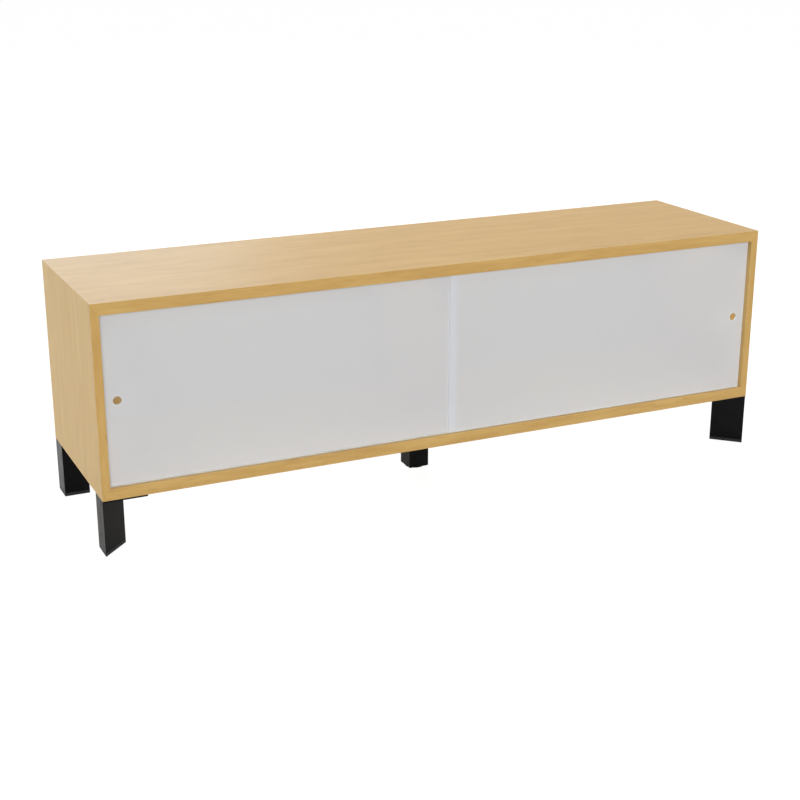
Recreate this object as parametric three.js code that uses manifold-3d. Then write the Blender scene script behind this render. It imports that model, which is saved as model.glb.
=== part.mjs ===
// Low cabinet with two sliding doors on black steel legs.
// Millimetres, +Z up, doors towards -Y, origin on the floor under the middle of the cabinet.
import * as THREE from 'three';
import { mergeVertices } from 'three/addons/utils/BufferGeometryUtils.js';
import Module from 'manifold-3d';

const wasm = await Module();
wasm.setup();

// Whole cabinet
const cabinetWidth = 1600;
const cabinetDepth = 420;
const caseHeight = 412;
const legHeight = 122;

// Case boards
const topThickness = 25;
const bottomThickness = 25;
const sideThickness = 18;
const dividerThickness = 18;
const backThickness = 6;
const backSetback = 6;
const backRebate = 10;

// Doors and their tracks
const doorThickness = 4;
const doorOverlap = 22;
const doorEndGap = 0.5;
const doorSideClearance = 0.4;
const doorEngagement = 6;
const fingerHoleDiameter = 18;
const fingerHoleInset = 29;
const fingerHoleDrop = 2;
const trackSetback = 8.4;
const trackLip = 2.2;
const trackRib = 1.4;
const trackFloor = 1.5;
const lowerChannelDepth = 5;
const upperChannelDepth = 12;
const dividerToTrack = 3;

// Joinery
const splineWidth = 14;
const splineThickness = 4;
const splineCentreShare = 0.6;
const splineFrontInset = 36;
const splineBackInset = 30;
const dowelDiameter = 8;
const dowelLength = 30;
const dowelInPanel = 12;
const dowelChamfer = 1;
const dowelCount = 2;
const dowelEndInset = 70;

// Corner legs
const legSide = 58;
const legWall = 1.5;
const legEdgeRadius = 0.5;
const legBoreRadius = 0.4;
const plateWidth = 95;
const plateThickness = 3;
const plateCornerRadius = 2;
const capHeight = 7;
const capPlugHeight = 14;
const legScrewInset = 13;
const legScrewPastLeg = 20;

// Centre leg
const centreTubeSide = 49;
const centreTubeWall = 2;
const centreEdgeRadius = 0.6;
const centreBoreRadius = 0.5;
const centrePlateSide = 90;
const centreScrewInset = 11;
const glideDiameter = 46;
const glideHeight = 3;
const glideEdge = 1.2;

// Screws
const legScrewDiameter = 5;
const legScrewInPanel = 14;
const legScrewTip = 3;
const legHeadDiameter = 9.5;
const legHeadHeight = 3;
const backScrewDiameter = 3.5;
const backScrewInPanel = 12;
const backScrewTip = 2;
const backHeadDiameter = 7;
const backHeadHeight = 2.2;
const backScrewInset = 5;
const backScrewEndInset = 62;
const backScrewsAcross = 4;
const headCrownShare = 0.65;

// Fits
const seatGap = 0.3;
const overrun = 2;

// Faces of the case
const left = -cabinetWidth / 2;
const right = cabinetWidth / 2;
const front = -cabinetDepth / 2;
const rear = cabinetDepth / 2;
const caseBottom = legHeight;
const caseTop = legHeight + caseHeight;
const innerLeft = left + sideThickness;
const innerRight = right - sideThickness;
const innerBottom = caseBottom + bottomThickness;
const innerTop = caseTop - topThickness;

// Back panel and divider
const backRear = rear - backSetback;
const backFront = backRear - backThickness;
const rebateFront = backFront - seatGap;
const channelWidth = doorThickness + 2 * doorSideClearance;
const trackWidth = 2 * (trackLip + channelWidth) + trackRib;
const trackFront = front + trackSetback;
const trackRear = trackFront + trackWidth;
const dividerFront = trackRear + dividerToTrack;
const dividerRear = backFront - seatGap;

// Doors: the right one runs in the front channel, the left one in the rear channel
const doorWidth = (innerRight - innerLeft + doorOverlap) / 2 - doorEndGap;
const frontDoorFace = trackFront + trackLip + doorSideClearance;
const rearDoorFace = frontDoorFace + channelWidth + trackRib;
const doorBottom = innerBottom - lowerChannelDepth + seatGap;
const doorTop = innerTop + doorEngagement;
const fingerHoleHeight = (innerBottom + innerTop) / 2 - fingerHoleDrop;

// Levels of the legs
const plateTop = caseBottom - seatGap;
const plateBottom = plateTop - plateThickness;
const tubeTop = plateBottom - seatGap;
const headTop = plateBottom - seatGap;

const circleSteps = 32;
const holeSteps = 10;
const foldSteps = 4;

const finishes = {
  wood: { color: 0xd9b67c, roughness: 0.45, metalness: 0 },
  plywood: { color: 0xc9a56b, roughness: 0.6, metalness: 0 },
  opalSheet: { color: 0xe6e8ea, roughness: 0.35, metalness: 0 },
  trackPlastic: { color: 0xd9ccb4, roughness: 0.5, metalness: 0 },
  blackSteel: { color: 0x1c1c1e, roughness: 0.4, metalness: 0.3 },
  blackPlastic: { color: 0x232325, roughness: 0.6, metalness: 0 },
  screwSteel: { color: 0x8a8c8f, roughness: 0.35, metalness: 0.9 },
};

function piece(name, finish, geometry) {
  const mesh = new THREE.Mesh(geometry, new THREE.MeshStandardMaterial(finishes[finish]));
  mesh.name = name;
  return mesh;
}

// A bare copy with shared corners
function welded(geometry) {
  const bare = geometry.clone();
  bare.deleteAttribute('normal');
  bare.deleteAttribute('uv');
  return mergeVertices(bare);
}

function solidOf(geometry) {
  const bare = welded(geometry);
  return new wasm.Manifold(new wasm.Mesh({
    numProp: 3,
    vertProperties: Float32Array.from(bare.attributes.position.array),
    triVerts: Uint32Array.from(bare.index.array),
  }));
}

function geometryOf(solid) {
  const mesh = solid.getMesh();
  const geometry = new THREE.BufferGeometry();
  geometry.setAttribute('position', new THREE.BufferAttribute(mesh.vertProperties, mesh.numProp));
  geometry.setIndex(new THREE.BufferAttribute(mesh.triVerts, 1));
  geometry.computeVertexNormals();
  return geometry;
}

function cut(base, tools) {
  return geometryOf(tools.reduce((solid, tool) => solid.subtract(solidOf(tool)), solidOf(base)));
}

function join(base, added) {
  return geometryOf(solidOf(base).add(solidOf(added)));
}

// One mesh for each copy, numbered from 1
function pieces(name, finish, geometries) {
  return geometries.map((geometry, index) => piece(`${name}_${index + 1}`, finish, geometry));
}

function spread(from, to, count) {
  return Array.from({ length: count }, (_, index) => from + (to - from) * index / (count - 1));
}

function block(low, high) {
  const size = high.map((value, axis) => value - low[axis]);
  const centre = high.map((value, axis) => (value + low[axis]) / 2);
  return new THREE.BoxGeometry(...size).translate(...centre);
}

// The outline as a shape that runs anticlockwise, as its holes need
function shapeOf(outline) {
  const points = outline.map(([u, v]) => new THREE.Vector2(u, v));
  return new THREE.Shape(THREE.ShapeUtils.isClockWise(points) ? points.reverse() : points);
}

// An outline in X and Z, drawn out along Y
function alongY(shape, from, to) {
  const geometry = new THREE.ExtrudeGeometry(shape, {
    depth: to - from, bevelEnabled: false, curveSegments: circleSteps,
  });
  return geometry.rotateX(Math.PI / 2).translate(0, to, 0);
}

// An outline in Y and Z, drawn out along X
function alongX(shape, from, to) {
  const geometry = new THREE.ExtrudeGeometry(shape, { depth: to - from, bevelEnabled: false });
  const turned = new THREE.Matrix4().makeBasis(
    new THREE.Vector3(0, 1, 0), new THREE.Vector3(0, 0, 1), new THREE.Vector3(1, 0, 0));
  return geometry.applyMatrix4(turned).translate(from, 0, 0);
}

// An outline in X and Y, drawn out along Z
function alongZ(shape, from, to) {
  return new THREE.ExtrudeGeometry(shape, { depth: to - from, bevelEnabled: false })
    .translate(0, 0, from);
}

// A turned piece, from [radius, height] points that start and end on the axis
function turned(profile, steps) {
  const points = profile.map(([radius, height]) => new THREE.Vector2(radius, height));
  return new THREE.LatheGeometry(points, steps).rotateX(Math.PI / 2);
}

function rod(diameter, from, to) {
  return new THREE.CylinderGeometry(diameter / 2, diameter / 2, to - from, holeSteps)
    .rotateX(Math.PI / 2).translate(0, 0, (from + to) / 2);
}

// Moves the edges of a convex outline inwards
function inset(outline, distance) {
  const turn = Math.sign(THREE.ShapeUtils.area(outline.map(([x, y]) => new THREE.Vector2(x, y))));
  const edges = outline.map((start, index) => {
    const end = outline[(index + 1) % outline.length];
    const length = Math.hypot(end[0] - start[0], end[1] - start[1]);
    const along = [(end[0] - start[0]) / length, (end[1] - start[1]) / length];
    const inward = [-along[1] * turn, along[0] * turn];
    return { at: [start[0] + inward[0] * distance, start[1] + inward[1] * distance], along };
  });
  return edges.map((edge, index) => {
    const before = edges[(index + edges.length - 1) % edges.length];
    const gap = [edge.at[0] - before.at[0], edge.at[1] - before.at[1]];
    const cross = before.along[0] * edge.along[1] - before.along[1] * edge.along[0];
    const reach = (gap[0] * edge.along[1] - gap[1] * edge.along[0]) / cross;
    return [before.at[0] + before.along[0] * reach, before.at[1] + before.along[1] * reach];
  });
}

// Rounds every corner of a convex outline
function rounded(outline, radius) {
  const points = [];
  outline.forEach((corner, index) => {
    const sides = [outline.at(index - 1), outline[(index + 1) % outline.length]].map((other) => {
      const length = Math.hypot(other[0] - corner[0], other[1] - corner[1]);
      return [(other[0] - corner[0]) / length, (other[1] - corner[1]) / length];
    });
    const half = Math.acos(sides[0][0] * sides[1][0] + sides[0][1] * sides[1][1]) / 2;
    const middle = [sides[0][0] + sides[1][0], sides[0][1] + sides[1][1]];
    const scale = radius / Math.sin(half) / Math.hypot(...middle);
    const centre = [corner[0] + middle[0] * scale, corner[1] + middle[1] * scale];
    const reach = radius / Math.tan(half);
    const [start, end] = sides.map((side) => Math.atan2(
      corner[1] + side[1] * reach - centre[1], corner[0] + side[0] * reach - centre[0]));
    const sweep = Math.atan2(Math.sin(end - start), Math.cos(end - start));
    for (let step = 0; step <= foldSteps; step += 1) {
      const angle = start + sweep * step / foldSteps;
      points.push([centre[0] + radius * Math.cos(angle), centre[1] + radius * Math.sin(angle)]);
    }
  });
  return points;
}

function tube(outline, wall, radius, boreRadius, from, to) {
  const shape = shapeOf(rounded(outline, radius));
  const bore = rounded(inset(outline, wall), boreRadius);
  shape.holes.push(new THREE.Path(bore.map(([x, y]) => new THREE.Vector2(x, y))));
  return alongZ(shape, from, to);
}

// A plug that fills a tube's bore with a small gap, standing on a flange
function plugIn(outline, wall, boreRadius, from, to) {
  return alongZ(shapeOf(rounded(inset(outline, wall + seatGap), boreRadius)), from, to);
}

function square(side) {
  const half = side / 2;
  return [[-half, -half], [half, -half], [half, half], [-half, half]];
}

// Case

const backRecess = block(
  [innerLeft - backRebate, rebateFront, innerBottom - backRebate],
  [innerRight + backRebate, rear + overrun, innerTop + backRebate]);

function trackGroove(shallow, deep) {
  const low = Math.min(shallow, deep);
  const high = Math.max(shallow, deep);
  return block([left - overrun, trackFront - seatGap, low], [right + overrun, trackRear + seatGap, high]);
}

// The mitre runs from the case's outer edge to its inner edge
function mitre(side, level) {
  const outerZ = level > 0 ? caseTop : caseBottom;
  const innerZ = level > 0 ? innerTop : innerBottom;
  return { outer: [side * right, outerZ], inner: [side * innerRight, innerZ] };
}

const mitreJoints = [
  { name: 'mitre_spline_top_left', side: -1, level: 1 },
  { name: 'mitre_spline_top_right', side: 1, level: 1 },
  { name: 'mitre_spline_bottom_left', side: -1, level: -1 },
  { name: 'mitre_spline_bottom_right', side: 1, level: -1 },
];

function spline({ side, level }, clearance) {
  const { outer, inner } = mitre(side, level);
  const run = [inner[0] - outer[0], inner[1] - outer[1]];
  const length = Math.hypot(...run);
  const along = [run[0] / length, run[1] / length];
  const centre = [outer[0] + run[0] * splineCentreShare, outer[1] + run[1] * splineCentreShare];
  const halfWidth = splineWidth / 2 + clearance;
  const halfThickness = splineThickness / 2 + clearance;
  const corners = [[-1, -1], [1, -1], [1, 1], [-1, 1]].map(([across, down]) => [
    centre[0] - along[1] * across * halfWidth + along[0] * down * halfThickness,
    centre[1] + along[0] * across * halfWidth + along[1] * down * halfThickness,
  ]);
  return alongY(shapeOf(corners), front + splineFrontInset - clearance, rear - splineBackInset + clearance);
}

const splineSlots = mitreJoints.map((joint) => spline(joint, seatGap));

// Half of the glue line's width, measured along X and along Z
function mitreShift(thickness) {
  const length = Math.hypot(sideThickness, thickness);
  return { x: seatGap / 2 * length / thickness, z: seatGap / 2 * length / sideThickness };
}

function levelPanel(level, thickness) {
  const { x } = mitreShift(thickness);
  const { outer, inner } = mitre(1, level);
  const outline = [[-outer[0] + x, outer[1]], [outer[0] - x, outer[1]],
    [inner[0] - x, inner[1]], [-inner[0] + x, inner[1]]];
  return alongY(shapeOf(outline), front, rear);
}

function sidePanel(side) {
  const top = mitre(side, 1);
  const bottom = mitre(side, -1);
  const topShift = mitreShift(topThickness).z;
  const bottomShift = mitreShift(bottomThickness).z;
  const outline = [[top.outer[0], top.outer[1] - topShift], [top.inner[0], top.inner[1] - topShift],
    [bottom.inner[0], bottom.inner[1] + bottomShift], [bottom.outer[0], bottom.outer[1] + bottomShift]];
  return alongY(shapeOf(outline), front, rear);
}

const dowelYs = spread(dividerFront + dowelEndInset, dividerRear - dowelEndInset, dowelCount);

// A dowel's lowest point, at the bottom and at the top of the divider
const dowelFoot = { bottom: innerBottom - dowelInPanel, top: innerTop + dowelInPanel - dowelLength };

function dowels(level) {
  const radius = dowelDiameter / 2;
  const profile = [[0, 0], [radius - dowelChamfer, 0], [radius, dowelChamfer],
    [radius, dowelLength - dowelChamfer], [radius - dowelChamfer, dowelLength], [0, dowelLength]];
  return dowelYs.map((y) => turned(profile, holeSteps).translate(0, y, dowelFoot[level]));
}

function dowelHoles(level) {
  const from = dowelFoot[level] - seatGap;
  const to = dowelFoot[level] + dowelLength + seatGap;
  return dowelYs.map((y) => rod(dowelDiameter + 2 * seatGap, from, to).translate(0, y, 0));
}

// Back panel and its screws

const backLow = [innerLeft - backRebate + seatGap, innerBottom - backRebate + seatGap];
const backHigh = [innerRight + backRebate - seatGap, innerTop + backRebate - seatGap];

const backScrewPlaces = [
  ...[backLow[1] + backScrewInset, backHigh[1] - backScrewInset].flatMap((z) => (
    spread(backLow[0] + backScrewEndInset, backHigh[0] - backScrewEndInset, backScrewsAcross)
      .map((x) => [x, z]))),
  [backLow[0] + backScrewInset, (backLow[1] + backHigh[1]) / 2],
  [backHigh[0] - backScrewInset, (backLow[1] + backHigh[1]) / 2],
];

// A round-headed screw that points along +Z, with its head's underside at zero
function screw(headDiameter, headHeight, diameter, length, tip) {
  const head = headDiameter / 2;
  const shank = diameter / 2;
  return turned([[0, -headHeight], [head * headCrownShare, -headHeight], [head, 0], [shank, 0],
    [shank, length - tip], [0, length]], holeSteps);
}

function backScrews() {
  const length = seatGap + backThickness + seatGap + backScrewInPanel;
  return backScrewPlaces.map(([x, z]) => (
    screw(backHeadDiameter, backHeadHeight, backScrewDiameter, length, backScrewTip)
      .rotateX(Math.PI / 2).translate(x, backRear + seatGap, z)));
}

const backScrewHoles = backScrewPlaces.map(([x, z]) => (
  rod(backScrewDiameter + 2 * seatGap, rebateFront - backScrewInPanel - seatGap, rear + overrun)
    .rotateX(-Math.PI / 2).translate(x, 0, z)));

// Legs

const legCorners = [
  { name: 'front_left', side: -1, end: -1 },
  { name: 'front_right', side: 1, end: -1 },
  { name: 'rear_left', side: -1, end: 1 },
  { name: 'rear_right', side: 1, end: 1 },
];

// Distances inwards from a case corner, turned into places
function fromCorner({ side, end }, [inX, inY]) {
  return [side * (right - inX), end * (rear - inY)];
}

const legTriangle = [[0, 0], [0, legSide], [legSide, legSide]];

// Three screws in the part of the plate that the leg leaves free
const legScrewPlaces = [
  [legScrewInset + legScrewPastLeg, legScrewInset],
  [plateWidth - legScrewInset, legScrewInset],
  [plateWidth - legScrewInset, legSide - legScrewInset],
];

function legPlate(corner) {
  const outline = [[0, 0], [plateWidth, 0], [plateWidth, legSide], [0, legSide]];
  const shape = shapeOf(rounded(outline.map((point) => fromCorner(corner, point)), plateCornerRadius));
  const holes = legScrewPlaces.map((place) => (
    rod(legScrewDiameter + 2 * seatGap, plateBottom - overrun, plateTop + overrun)
      .translate(...fromCorner(corner, place), 0)));
  return cut(alongZ(shape, plateBottom, plateTop), holes);
}

function legTube(corner) {
  const outline = legTriangle.map((point) => fromCorner(corner, point));
  return tube(outline, legWall, legEdgeRadius, legBoreRadius, capHeight + seatGap, tubeTop);
}

function footCap(corner) {
  const outline = legTriangle.map((point) => fromCorner(corner, point));
  const flange = alongZ(shapeOf(rounded(outline, legEdgeRadius)), 0, capHeight);
  const plug = plugIn(outline, legWall, legBoreRadius, capHeight / 2, capHeight + capPlugHeight);
  return join(flange, plug);
}

const legScrewLength = headTop - plateBottom + seatGap + plateThickness + seatGap + legScrewInPanel;

function legScrews(places) {
  return places.map(([x, y]) => (
    screw(legHeadDiameter, legHeadHeight, legScrewDiameter, legScrewLength, legScrewTip)
      .translate(x, y, headTop)));
}

function legScrewHoles(places) {
  return places.map(([x, y]) => (
    rod(legScrewDiameter + 2 * seatGap, caseBottom - overrun, caseBottom + legScrewInPanel + seatGap)
      .translate(x, y, 0)));
}

const cornerScrewPlaces = legCorners.map((corner) => (
  legScrewPlaces.map((place) => fromCorner(corner, place))));
const centreScrewPlaces = square(centrePlateSide - 2 * centreScrewInset);

function centrePlate() {
  const holes = centreScrewPlaces.map((place) => (
    rod(legScrewDiameter + 2 * seatGap, plateBottom - overrun, plateTop + overrun).translate(...place, 0)));
  const shape = shapeOf(rounded(square(centrePlateSide), plateCornerRadius));
  return cut(alongZ(shape, plateBottom, plateTop), holes);
}

function centreTube() {
  return tube(square(centreTubeSide), centreTubeWall, centreEdgeRadius, centreBoreRadius,
    glideHeight + seatGap, tubeTop);
}

function centreFoot() {
  const radius = glideDiameter / 2;
  const glide = turned([[0, 0], [radius - glideEdge, 0], [radius, glideEdge], [radius, glideHeight],
    [0, glideHeight]], circleSteps);
  const plug = plugIn(square(centreTubeSide), centreTubeWall, centreBoreRadius,
    glideHeight / 2, glideHeight + capPlugHeight);
  return join(glide, plug);
}

// Assembly

const caseGroup = new THREE.Group();
caseGroup.add(
  piece('top_panel', 'wood', cut(levelPanel(1, topThickness), [
    backRecess,
    trackGroove(innerTop - overrun, innerTop + trackFloor + upperChannelDepth + seatGap),
    ...splineSlots, ...dowelHoles('top'), ...backScrewHoles])),
  piece('bottom_panel', 'wood', cut(levelPanel(-1, bottomThickness), [
    backRecess,
    trackGroove(innerBottom + overrun, innerBottom - trackFloor - lowerChannelDepth - seatGap),
    ...splineSlots, ...dowelHoles('bottom'), ...backScrewHoles,
    ...legScrewHoles([...cornerScrewPlaces.flat(), ...centreScrewPlaces])])),
  piece('left_side_panel', 'wood', cut(sidePanel(-1), [backRecess, ...splineSlots, ...backScrewHoles])),
  piece('right_side_panel', 'wood', cut(sidePanel(1), [backRecess, ...splineSlots, ...backScrewHoles])),
  piece('centre_divider', 'wood', cut(
    block([-dividerThickness / 2, dividerFront, innerBottom + seatGap],
      [dividerThickness / 2, dividerRear, innerTop - seatGap]),
    [...dowelHoles('top'), ...dowelHoles('bottom')])),
  piece('back_panel', 'plywood', cut(
    block([backLow[0], backFront, backLow[1]], [backHigh[0], backRear, backHigh[1]]), backScrewHoles)),
  ...pieces('divider_dowel_top', 'plywood', dowels('top')),
  ...pieces('divider_dowel_bottom', 'plywood', dowels('bottom')),
  ...pieces('back_panel_screw', 'screwSteel', backScrews()),
  ...mitreJoints.map((joint) => piece(joint.name, 'plywood', spline(joint, 0))),
);

// A track's section with both channels, from its open side to its closed side
function trackSection(open, closed) {
  const floor = closed - Math.sign(closed - open) * trackFloor;
  const firstChannel = trackFront + trackLip;
  const secondChannel = firstChannel + channelWidth + trackRib;
  const channels = [firstChannel, secondChannel].flatMap((start) => [
    [start, open], [start, floor], [start + channelWidth, floor], [start + channelWidth, open]]);
  return [[trackFront, open], ...channels, [trackRear, open], [trackRear, closed], [trackFront, closed]];
}

function track(open, closed) {
  return alongX(shapeOf(trackSection(open, closed)), innerLeft + seatGap, innerRight - seatGap);
}

function door(side, face) {
  const outer = side * (innerRight - doorEndGap);
  const inner = outer - side * doorWidth;
  const sheet = shapeOf([[outer, doorBottom], [inner, doorBottom], [inner, doorTop], [outer, doorTop]]);
  const hole = new THREE.Path();
  hole.absarc(outer - side * fingerHoleInset, fingerHoleHeight, fingerHoleDiameter / 2, 0, 2 * Math.PI);
  sheet.holes.push(hole);
  return alongY(sheet, face, face + doorThickness);
}

const doorGroup = new THREE.Group();
doorGroup.add(
  piece('lower_track', 'trackPlastic', track(innerBottom, innerBottom - trackFloor - lowerChannelDepth)),
  piece('upper_track', 'trackPlastic', track(innerTop, innerTop + trackFloor + upperChannelDepth)),
  piece('left_door', 'opalSheet', door(-1, rearDoorFace)),
  piece('right_door', 'opalSheet', door(1, frontDoorFace)),
);

const legGroup = new THREE.Group();
legCorners.forEach((corner, index) => {
  legGroup.add(
    piece(`${corner.name}_leg_plate`, 'blackSteel', legPlate(corner)),
    piece(`${corner.name}_leg`, 'blackSteel', legTube(corner)),
    piece(`${corner.name}_foot_cap`, 'blackPlastic', footCap(corner)),
    ...pieces(`${corner.name}_leg_screw`, 'screwSteel', legScrews(cornerScrewPlaces[index])),
  );
});
legGroup.add(
  piece('centre_leg_plate', 'blackSteel', centrePlate()),
  piece('centre_leg', 'blackSteel', centreTube()),
  piece('centre_leg_foot', 'blackPlastic', centreFoot()),
  ...pieces('centre_leg_screw', 'screwSteel', legScrews(centreScrewPlaces)),
);

const cabinet = new THREE.Group();
cabinet.add(caseGroup, doorGroup, legGroup);

export default cabinet;
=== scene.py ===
import bpy
import bmesh
import math
from mathutils import Matrix, Vector


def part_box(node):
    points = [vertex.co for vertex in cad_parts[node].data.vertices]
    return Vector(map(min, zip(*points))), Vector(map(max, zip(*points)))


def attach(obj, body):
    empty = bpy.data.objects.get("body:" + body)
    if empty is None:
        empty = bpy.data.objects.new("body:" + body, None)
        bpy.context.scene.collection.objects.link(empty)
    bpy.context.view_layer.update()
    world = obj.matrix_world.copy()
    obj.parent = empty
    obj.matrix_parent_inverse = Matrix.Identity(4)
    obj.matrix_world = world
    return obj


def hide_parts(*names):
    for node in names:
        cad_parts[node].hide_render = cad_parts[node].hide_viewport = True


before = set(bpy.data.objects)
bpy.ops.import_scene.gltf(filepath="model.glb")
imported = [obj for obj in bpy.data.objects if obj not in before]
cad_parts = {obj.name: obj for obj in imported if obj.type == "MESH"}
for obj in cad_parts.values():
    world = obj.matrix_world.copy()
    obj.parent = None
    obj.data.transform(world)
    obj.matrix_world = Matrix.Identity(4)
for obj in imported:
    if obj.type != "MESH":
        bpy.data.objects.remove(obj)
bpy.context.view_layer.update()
print("frame:", len(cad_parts), "nodes")

mm = 0.001
corners = {"front_left": (-1, -1), "front_right": (1, -1), "rear_left": (-1, 1), "rear_right": (1, 1)}


def addObject(name, data):
    thing = bpy.data.objects.new(name, data)
    bpy.context.scene.collection.objects.link(thing)
    return thing


# Shader and geometry trees: a node with its settings, its values and what feeds it
def addNode(tree, kind, sockets=None, **settings):
    node = tree.nodes.new(kind)
    for name, value in settings.items():
        setattr(node, name, value)
    for name, value in (sockets or {}).items():
        if isinstance(value, bpy.types.NodeSocket):
            tree.links.new(value, node.inputs[name])
        else:
            node.inputs[name].default_value = value
    return node


def maths(tree, operation, first, second=0.0):
    node = addNode(tree, "ShaderNodeMath", {0: first, 1: second}, operation=operation)
    return node.outputs[0]


def remap(tree, value, low, high, newLow=0.0, newHigh=1.0):
    node = addNode(tree, "ShaderNodeMapRange", {
        "Value": value, "From Min": low, "From Max": high, "To Min": newLow, "To Max": newHigh})
    return node.outputs["Result"]


def newMaterial(name, colour, roughness, specular):
    material = bpy.data.materials.new(name)
    material.use_nodes = True
    tree = material.node_tree
    shader = next(node for node in tree.nodes if node.type == "BSDF_PRINCIPLED")
    shader.inputs["Base Color"].default_value = (*colour, 1)
    shader.inputs["Roughness"].default_value = roughness
    shader.inputs["Specular IOR Level"].default_value = specular
    material.diffuse_color = (*colour, 1)
    return material, tree, shader


def objectCoordinates(tree, location=(0, 0, 0), scale=(1, 1, 1)):
    place = addNode(tree, "ShaderNodeTexCoord").outputs["Object"]
    return addNode(tree, "ShaderNodeMapping", {
        "Vector": place, "Location": location, "Scale": scale}).outputs["Vector"]


# Noise lies mostly within these values
noiseRange = (0.3, 0.7)


def noise(tree, vector, scale, detail=2.0, distortion=0.0):
    return addNode(tree, "ShaderNodeTexNoise", {
        "Vector": vector, "Scale": scale, "Detail": detail, "Distortion": distortion}).outputs["Fac"]


def bump(tree, shader, height, strength, distance):
    shader.inputs["Normal"].default_value = (0, 0, 0)
    node = addNode(tree, "ShaderNodeBump", {"Height": height, "Strength": strength, "Distance": distance})
    tree.links.new(node.outputs["Normal"], shader.inputs["Normal"])


# Wood: a solid pattern stretched along the grain, so that faces and edges of a board agree
veneer = {
    "dark": (0.47, 0.266, 0.074),
    "light": (0.61, 0.40, 0.138),
    "fleck": (0.40, 0.205, 0.05),
    "figure": {"scale": 30, "stretch": 7, "share": 0.40, "distortion": 0.6},
    "streaks": {"scale": 150, "stretch": 11, "share": 0.35, "distortion": 0.0},
    "fibres": {"scale": 1300, "stretch": 45, "share": 0.25, "distortion": 0.0},
    "flecks": {"scale": 110, "stretch": 6, "radius": 0.28, "sparseness": 0.62, "fade": 0.1, "strength": 0.55},
    "detail": 3.0,
    "contrast": 2.7,
    "roughness": (0.43, 0.47),
    "specular": 0.45,
    "relief": 0.02 * mm,
    "reliefStrength": 0.6,
}

# Painted shade: the back panel's veneer is a darker copy of the face veneer, standing in for the shade inside
# the case
paintedShadeBackVeneer = dict(veneer, dark=(0.27, 0.185, 0.075), light=(0.37, 0.265, 0.125))


def stretched(stretch, grain):
    return tuple(1 / stretch if axis == grain else 1.0 for axis in range(3))


def woodMaterial(name, grain, shift, values=veneer):
    material, tree, shader = newMaterial(name, values["light"], values["roughness"][0], values["specular"])
    layers = {}
    for layer in ("figure", "streaks", "fibres"):
        sizes = values[layer]
        place = objectCoordinates(tree, shift, stretched(sizes["stretch"], grain))
        layers[layer] = noise(tree, place, sizes["scale"], values["detail"], sizes["distortion"])
    middle = 0.5
    total = middle
    for layer, value in layers.items():
        part = remap(tree, value, 0.0, 1.0, -values[layer]["share"] / 2, values[layer]["share"] / 2)
        total = maths(tree, "ADD", part, total)
    reach = middle / values["contrast"]
    tone = remap(tree, total, middle - reach, middle + reach)
    wood = addNode(tree, "ShaderNodeMix", {
        "Factor": tone, "A": (*values["dark"], 1), "B": (*values["light"], 1)}, data_type="RGBA")
    # Short darker flecks, in some of the cells only
    flecks = values["flecks"]
    place = objectCoordinates(tree, shift, stretched(flecks["stretch"], grain))
    cells = addNode(tree, "ShaderNodeTexVoronoi", {"Vector": place, "Scale": flecks["scale"]})
    chosen = remap(tree, cells.outputs["Color"], flecks["sparseness"], flecks["sparseness"] + flecks["fade"])
    spot = remap(tree, cells.outputs["Distance"], 0.0, flecks["radius"], flecks["strength"], 0.0)
    mark = maths(tree, "MULTIPLY", chosen, spot)
    colour = addNode(tree, "ShaderNodeMix", {
        "Factor": mark, "A": wood.outputs["Result"], "B": (*values["fleck"], 1)}, data_type="RGBA")
    tree.links.new(colour.outputs["Result"], shader.inputs["Base Color"])
    rough = remap(tree, layers["streaks"], *noiseRange, *values["roughness"])
    tree.links.new(rough, shader.inputs["Roughness"])
    bump(tree, shader, layers["fibres"], values["reliefStrength"], values["relief"])
    return material


# The door sheets' colour and finish; the last two entries paint light along the sheet's edges and round the
# rim of its hole
opalSheet = {"colour": (0.588, 0.599, 0.622), "alpha": 0.655, "roughness": 0.28, "specular": 0.3,
             "haze": 0.03, "hazeScale": 900, "ripple": 0.01 * mm, "rippleScale": 14, "rippleStrength": 0.3,
             "paintedEdgeLight": {"width": 70 * mm, "gain": 0.05}, "paintedRimLight": {"width": 4 * mm, "gain": 0.10}}


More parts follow.
